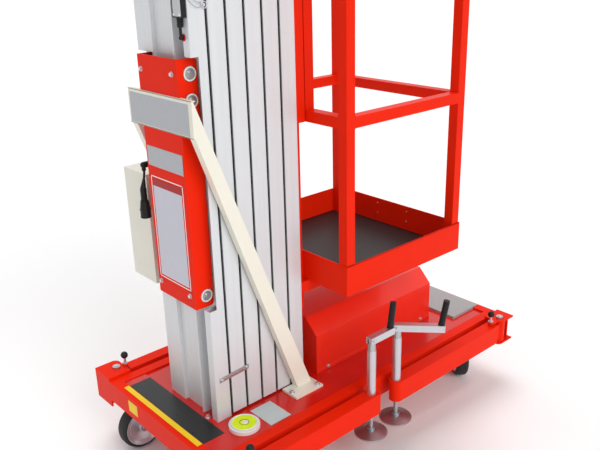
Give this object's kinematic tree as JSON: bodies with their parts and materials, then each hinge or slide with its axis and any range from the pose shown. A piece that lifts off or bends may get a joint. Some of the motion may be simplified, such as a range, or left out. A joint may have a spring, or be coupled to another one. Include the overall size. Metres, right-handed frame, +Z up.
{
  "type": "vertical mast lift",
  "caption": "Push-around vertical mast lift: telescoping aluminium mast, guarded one-person platform, wheeled chassis and swing-out outriggers with screw jacks.",
  "frame": {"origin": "on the floor under the middle of the bounding box", "axes": "+Z up, +X along the chassis from the mast towards the platform and step, +Y towards the control box side"},
  "size_m": [1.468, 1.027, 1.98],
  "materials": {
    "red_paint": "gloss enamel",
    "red_alloy": "gloss enamel over aluminium tube and sheet",
    "cream_paint": "satin enamel",
    "mast_alloy": "satin anodised extrusion",
    "plated_steel": "zinc plated",
    "black_plastic": "moulded",
    "tyre": "solid rubber",
    "floor_mat": "anti-slip",
    "battery": "plain block",
    "level": "clear vial over green fluid"
  },
  "bodies": {
    "chassis": {"chassis_frame": "red_paint", "deck_plate": "red_paint", "step_plate": "plated_steel", "corner_brackets": "red_paint", "hinge_pins": "plated_steel", "lock_knobs": "black_plastic", "front_axles": "plated_steel", "mast_1": "mast_alloy", "mast_channel": "red_paint", "channel_rollers": "plated_steel", "brace_head": "cream_paint", "brace_legs": "cream_paint", "control_box": "cream_paint", "box_brackets": "plated_steel", "lead_gland": "black_plastic", "power_lead": "black_plastic", "lead_plug": "black_plastic", "limit_switch": "plated_steel", "switch_cable": "black_plastic", "level_vial": "level", "rear_cover": "red_paint", "power_pack": "battery"},
    "mast_stage_2": {"mast_2": "mast_alloy"},
    "mast_stage_3": {"mast_3": "mast_alloy"},
    "mast_stage_4": {"mast_4": "mast_alloy"},
    "mast_stage_5": {"mast_5": "mast_alloy"},
    "platform": {"mast_6": "mast_alloy", "platform_mount": "red_alloy", "platform_tray": "red_alloy", "platform_mat": "floor_mat", "guard_rails": "red_alloy"},
    "entry_bar": {"entry_bar": "red_alloy"},
    "front_wheel_left": {"front_tyre_left": "tyre", "front_rim_left": "plated_steel"},
    "caster_left": {"caster_fork_left": "plated_steel"},
    "rear_wheel_left": {"rear_tyre_left": "tyre", "rear_rim_left": "plated_steel"},
    "front_wheel_right": {"front_tyre_right": "tyre", "front_rim_right": "plated_steel"},
    "caster_right": {"caster_fork_right": "plated_steel"},
    "rear_wheel_right": {"rear_tyre_right": "tyre", "rear_rim_right": "plated_steel"},
    "outrigger_front_left": {"arm_front_left": "red_alloy", "jack_front_left": "plated_steel", "grips_front_left": "black_plastic"},
    "foot_front_left": {"foot_front_left": "plated_steel"},
    "outrigger_front_right": {"arm_front_right": "red_alloy", "jack_front_right": "plated_steel", "grips_front_right": "black_plastic"},
    "foot_front_right": {"foot_front_right": "plated_steel"},
    "outrigger_rear_left": {"arm_rear_left": "red_alloy", "jack_rear_left": "plated_steel", "grips_rear_left": "black_plastic"},
    "foot_rear_left": {"foot_rear_left": "plated_steel"},
    "outrigger_rear_right": {"arm_rear_right": "red_alloy", "jack_rear_right": "plated_steel", "grips_rear_right": "black_plastic"},
    "foot_rear_right": {"foot_rear_right": "plated_steel"}
  },
  "joints": [
    {"name": "mast_slide_1", "type": "slide", "parent": "chassis", "child": "mast_stage_2", "axis": [0, 0, 1], "range_m": [0, 1.45]},
    {"name": "mast_slide_2", "type": "slide", "parent": "mast_stage_2", "child": "mast_stage_3", "axis": [0, 0, 1], "range_m": [0, 1.45]},
    {"name": "mast_slide_3", "type": "slide", "parent": "mast_stage_3", "child": "mast_stage_4", "axis": [0, 0, 1], "range_m": [0, 1.45]},
    {"name": "mast_slide_4", "type": "slide", "parent": "mast_stage_4", "child": "mast_stage_5", "axis": [0, 0, 1], "range_m": [0, 1.45]},
    {"name": "mast_slide_5", "type": "slide", "parent": "mast_stage_5", "child": "platform", "axis": [0, 0, 1], "range_m": [0, 1.45]},
    {"name": "entry_bar_slide", "type": "slide", "parent": "platform", "child": "entry_bar", "axis": [0, 0, 1], "range_m": [0, 0.46]},
    {"name": "front_wheel_left_spin", "type": "hinge", "parent": "chassis", "child": "front_wheel_left", "pos_m": [-0.65, 0.275, 0.088], "axis": [0, 1, 0], "continuous": true},
    {"name": "caster_left_swivel", "type": "hinge", "parent": "chassis", "child": "caster_left", "pos_m": [0.626, 0.214, 0.19], "axis": [0, 0, 1], "continuous": true},
    {"name": "rear_wheel_left_spin", "type": "hinge", "parent": "caster_left", "child": "rear_wheel_left", "pos_m": [0.59405, 0.20237, 0.088], "axis": [-0.342, 0.9397, 0], "continuous": true},
    {"name": "front_wheel_right_spin", "type": "hinge", "parent": "chassis", "child": "front_wheel_right", "pos_m": [-0.65, -0.275, 0.088], "axis": [0, 1, 0], "continuous": true},
    {"name": "caster_right_swivel", "type": "hinge", "parent": "chassis", "child": "caster_right", "pos_m": [0.626, -0.214, 0.19], "axis": [0, 0, 1], "continuous": true},
    {"name": "rear_wheel_right_spin", "type": "hinge", "parent": "caster_right", "child": "rear_wheel_right", "pos_m": [0.60369, -0.23966, 0.088], "axis": [-0.7547, 0.6561, 0], "continuous": true},
    {"name": "outrigger_front_left_swing", "type": "hinge", "parent": "chassis", "child": "outrigger_front_left", "pos_m": [-0.671, 0.381, 0.24], "axis": [0, 0, 1], "range_deg": [0, 110]},
    {"name": "jack_front_left_slide", "type": "slide", "parent": "outrigger_front_left", "child": "foot_front_left", "axis": [0, 0, -1], "range_m": [0, 0.15]},
    {"name": "outrigger_front_right_swing", "type": "hinge", "parent": "chassis", "child": "outrigger_front_right", "pos_m": [-0.671, -0.381, 0.24], "axis": [0, 0, -1], "range_deg": [0, 110]},
    {"name": "jack_front_right_slide", "type": "slide", "parent": "outrigger_front_right", "child": "foot_front_right", "axis": [0, 0, -1], "range_m": [0, 0.15]},
    {"name": "outrigger_rear_left_swing", "type": "hinge", "parent": "chassis", "child": "outrigger_rear_left", "pos_m": [0.671, 0.381, 0.24], "axis": [0, 0, -1], "range_deg": [0, 110]},
    {"name": "jack_rear_left_slide", "type": "slide", "parent": "outrigger_rear_left", "child": "foot_rear_left", "axis": [0, 0, -1], "range_m": [0, 0.15]},
    {"name": "outrigger_rear_right_swing", "type": "hinge", "parent": "chassis", "child": "outrigger_rear_right", "pos_m": [0.671, -0.381, 0.24], "axis": [0, 0, 1], "range_deg": [0, 110]},
    {"name": "jack_rear_right_slide", "type": "slide", "parent": "outrigger_rear_right", "child": "foot_rear_right", "axis": [0, 0, -1], "range_m": [0, 0.15]}
  ],
  "couplings": [
    {"joint": "mast_slide_2", "follows": "mast_slide_1", "ratio": 1},
    {"joint": "mast_slide_3", "follows": "mast_slide_1", "ratio": 1},
    {"joint": "mast_slide_4", "follows": "mast_slide_1", "ratio": 1},
    {"joint": "mast_slide_5", "follows": "mast_slide_1", "ratio": 1}
  ]
}
